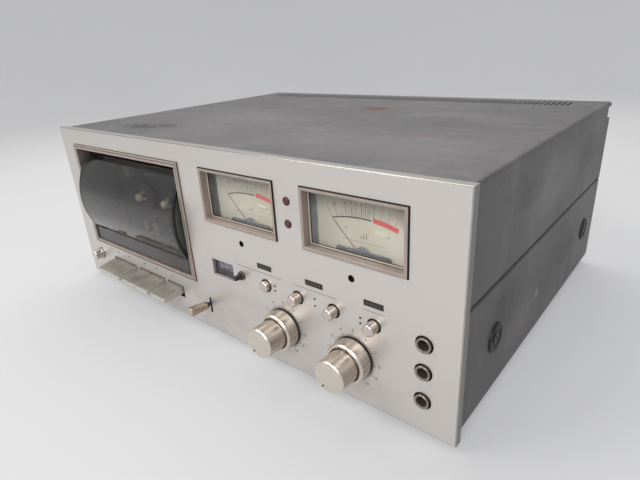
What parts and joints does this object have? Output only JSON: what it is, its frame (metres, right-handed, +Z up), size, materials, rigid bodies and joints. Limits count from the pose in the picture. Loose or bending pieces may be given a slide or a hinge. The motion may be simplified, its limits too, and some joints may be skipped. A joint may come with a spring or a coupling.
{
  "type": "cassette deck",
  "caption": "Silver stereo cassette deck with smoked rotary door, piano keys, two meters, double knobs, push-buttons and jack sockets.",
  "frame": {"origin": "bottom centre of the deck's overall box, on the surface that the feet stand on", "axes": "+X across the deck to the viewer's right as one faces the panel, +Y from the front panel to the back, +Z up"},
  "size_m": [0.42, 0.3294, 0.1582],
  "materials": {
    "panel_silver": "satin, fine grain",
    "case_grey": "semi-matt paint with fine texture",
    "steel": "plated",
    "champagne": "turned, satin",
    "chrome": "polished",
    "taupe": "satin",
    "smoke": "smoked, clear",
    "key_grey": "moulded, satin",
    "cream": "moulded",
    "black_plastic": "moulded",
    "rubber": "matt",
    "board": "solder resist",
    "lens": "clear",
    "lamp": "dark red, clear"
  },
  "bodies": {
    "deck": {"base_chassis": "case_grey", "top_cover": "case_grey", "rear_panel": "case_grey", "front_panel": "panel_silver", "front_frame": "steel", "cassette_bezel": "taupe", "deck_plate": "steel", "motor": "steel", "drive_belt": "rubber", "key_axle": "steel", "counter_housing": "black_plastic", "meter_bezel_left": "taupe", "meter_bezel_right": "taupe", "meter_lens_left": "lens", "meter_lens_right": "lens", "meter_body_left": "cream", "meter_body_right": "steel", "lamp_upper": "lamp", "lamp_lower": "lamp", "switch_bank": "black_plastic", "pot_left": "steel", "pot_right": "steel", "jack_upper": "black_plastic", "jack_middle": "black_plastic", "jack_lower": "black_plastic", "transformer": "steel", "main_board": "board", "socket_strip": "black_plastic", "foot_front_left": "rubber", "foot_front_right": "rubber", "foot_rear_left": "rubber", "foot_rear_right": "rubber"},
    "door": {"cassette_door": "smoke"},
    "supply_reel": {"supply_spindle": "cream"},
    "takeup_reel": {"takeup_spindle": "cream"},
    "heads": {"head_bridge": "steel"},
    "pinch_lever": {"pinch_arm": "steel"},
    "roller": {"pinch_roller": "rubber"},
    "capstan": {"capstan_flywheel": "steel"},
    "pulley": {"motor_pulley": "champagne"},
    "play": {"key_play": "key_grey"},
    "rewind": {"key_rewind": "key_grey"},
    "fast_forward": {"key_fast_forward": "key_grey"},
    "record": {"key_record": "key_grey"},
    "timer_lever": {"lever": "champagne"},
    "power": {"power_button": "chrome"},
    "units": {"counter_units": "black_plastic"},
    "tens": {"counter_tens": "black_plastic"},
    "hundreds": {"counter_hundreds": "black_plastic"},
    "reset": {"reset_button": "black_plastic"},
    "left_needle": {"needle_left": "black_plastic"},
    "right_needle": {"needle_right": "black_plastic"},
    "push_1": {"push_button_1": "chrome"},
    "push_2": {"push_button_2": "chrome"},
    "push_3": {"push_button_3": "chrome"},
    "push_4": {"push_button_4": "chrome"},
    "left_ring": {"knob_ring_left": "champagne"},
    "right_ring": {"knob_ring_right": "champagne"},
    "left_knob": {"knob_left": "champagne"},
    "right_knob": {"knob_right": "champagne"}
  },
  "joints": [
    {"name": "door_turn", "type": "hinge", "parent": "deck", "child": "door", "pos_m": [-0.10275, -0.08875, 0.092], "axis": [-1, 0, 0], "range_deg": [0, 80]},
    {"name": "supply_spin", "type": "hinge", "parent": "deck", "child": "supply_reel", "pos_m": [-0.1249, -0.13875, 0.093], "axis": [0, 1, 0], "continuous": true},
    {"name": "takeup_spin", "type": "hinge", "parent": "deck", "child": "takeup_reel", "pos_m": [-0.0824, -0.13875, 0.093], "axis": [0, 1, 0], "continuous": true},
    {"name": "head_slide", "type": "slide", "parent": "deck", "child": "heads", "axis": [0, 0, 1], "range_m": [0, 0.005]},
    {"name": "pinch_turn", "type": "hinge", "parent": "deck", "child": "pinch_lever", "pos_m": [-0.062, -0.10625, 0.054], "axis": [0, 1, 0], "range_deg": [0, 9]},
    {"name": "roller_spin", "type": "hinge", "parent": "pinch_lever", "child": "roller", "pos_m": [-0.08183, -0.11225, 0.0539], "axis": [0, 1, 0], "continuous": true},
    {"name": "capstan_spin", "type": "hinge", "parent": "deck", "child": "capstan", "pos_m": [-0.0816, -0.07375, 0.064], "axis": [0, 1, 0], "continuous": true},
    {"name": "pulley_spin", "type": "hinge", "parent": "deck", "child": "pulley", "pos_m": [-0.14, -0.07125, 0.054], "axis": [0, 1, 0], "continuous": true},
    {"name": "play_press", "type": "hinge", "parent": "deck", "child": "play", "pos_m": [-0.1373, -0.11175, 0.021], "axis": [1, 0, 0], "range_deg": [0, 4.5], "stiffness_Nm_per_rad": 0.2, "springref_deg": -5.73},
    {"name": "rewind_press", "type": "hinge", "parent": "deck", "child": "rewind", "pos_m": [-0.1006, -0.11175, 0.021], "axis": [1, 0, 0], "range_deg": [0, 4.5], "stiffness_Nm_per_rad": 0.2, "springref_deg": -5.73},
    {"name": "fast_forward_press", "type": "hinge", "parent": "deck", "child": "fast_forward", "pos_m": [-0.0801, -0.11175, 0.021], "axis": [1, 0, 0], "range_deg": [0, 4.5], "stiffness_Nm_per_rad": 0.2, "springref_deg": -5.73},
    {"name": "record_press", "type": "hinge", "parent": "deck", "child": "record", "pos_m": [-0.0536, -0.11175, 0.021], "axis": [1, 0, 0], "range_deg": [0, 4.5], "stiffness_Nm_per_rad": 0.2, "springref_deg": -5.73},
    {"name": "lever_tilt", "type": "hinge", "parent": "deck", "child": "timer_lever", "pos_m": [-0.0047, -0.11875, 0.0265], "axis": [1, 0, 0], "range_deg": [-7, 16]},
    {"name": "power_press", "type": "slide", "parent": "deck", "child": "power", "axis": [0, 1, 0], "range_m": [0, 0.0035], "stiffness_N_per_m": 200, "springref_m": -0.002},
    {"name": "units_spin", "type": "hinge", "parent": "deck", "child": "units", "pos_m": [0.02575, -0.12475, 0.0651], "axis": [1, 0, 0], "continuous": true},
    {"name": "tens_spin", "type": "hinge", "parent": "deck", "child": "tens", "pos_m": [0.01835, -0.12475, 0.0651], "axis": [1, 0, 0], "continuous": true},
    {"name": "hundreds_spin", "type": "hinge", "parent": "deck", "child": "hundreds", "pos_m": [0.01095, -0.12475, 0.0651], "axis": [1, 0, 0], "continuous": true},
    {"name": "reset_press", "type": "slide", "parent": "deck", "child": "reset", "axis": [0, 1, 0], "range_m": [0, 0.0015], "stiffness_N_per_m": 150, "springref_m": -0.002},
    {"name": "left_needle_swing", "type": "hinge", "parent": "deck", "child": "left_needle", "pos_m": [0.0433, -0.12655, 0.0995], "axis": [0, 1, 0], "range_deg": [0, 90], "stiffness_Nm_per_rad": 0.00002, "springref_deg": -11.46},
    {"name": "right_needle_swing", "type": "hinge", "parent": "deck", "child": "right_needle", "pos_m": [0.1403, -0.12655, 0.0995], "axis": [0, 1, 0], "range_deg": [0, 90], "stiffness_Nm_per_rad": 0.00002, "springref_deg": -11.46},
    {"name": "push_1_press", "type": "slide", "parent": "deck", "child": "push_1", "axis": [0, 1, 0], "range_m": [-0.004, 0]},
    {"name": "push_2_press", "type": "slide", "parent": "deck", "child": "push_2", "axis": [0, 1, 0], "range_m": [0, 0.004], "stiffness_N_per_m": 150, "springref_m": -0.002},
    {"name": "push_3_press", "type": "slide", "parent": "deck", "child": "push_3", "axis": [0, 1, 0], "range_m": [0, 0.004], "stiffness_N_per_m": 150, "springref_m": -0.002},
    {"name": "push_4_press", "type": "slide", "parent": "deck", "child": "push_4", "axis": [0, 1, 0], "range_m": [0, 0.004], "stiffness_N_per_m": 150, "springref_m": -0.002},
    {"name": "left_ring_turn", "type": "hinge", "parent": "deck", "child": "left_ring", "pos_m": [0.08009, -0.14475, 0.0368], "axis": [0, 1, 0], "range_deg": [-150, 150]},
    {"name": "left_knob_turn", "type": "hinge", "parent": "deck", "child": "left_knob", "pos_m": [0.08009, -0.15675, 0.0368], "axis": [0, 1, 0], "range_deg": [-150, 150]},
    {"name": "right_ring_turn", "type": "hinge", "parent": "deck", "child": "right_ring", "pos_m": [0.13982, -0.14475, 0.0368], "axis": [0, 1, 0], "range_deg": [-150, 150]},
    {"name": "right_knob_turn", "type": "hinge", "parent": "deck", "child": "right_knob", "pos_m": [0.13982, -0.15675, 0.0368], "axis": [0, 1, 0], "range_deg": [-150, 150]}
  ],
  "couplings": [
    {"joint": "head_slide", "follows": "play_press", "m_per_rad": 0.0636},
    {"joint": "pinch_turn", "follows": "play_press", "ratio": 2},
    {"joint": "pulley_spin", "follows": "capstan_spin", "ratio": 5.3333},
    {"joint": "units_spin", "follows": "takeup_spin", "ratio": 0.4},
    {"joint": "tens_spin", "follows": "takeup_spin", "ratio": 0.04},
    {"joint": "hundreds_spin", "follows": "takeup_spin", "ratio": 0.004}
  ]
}
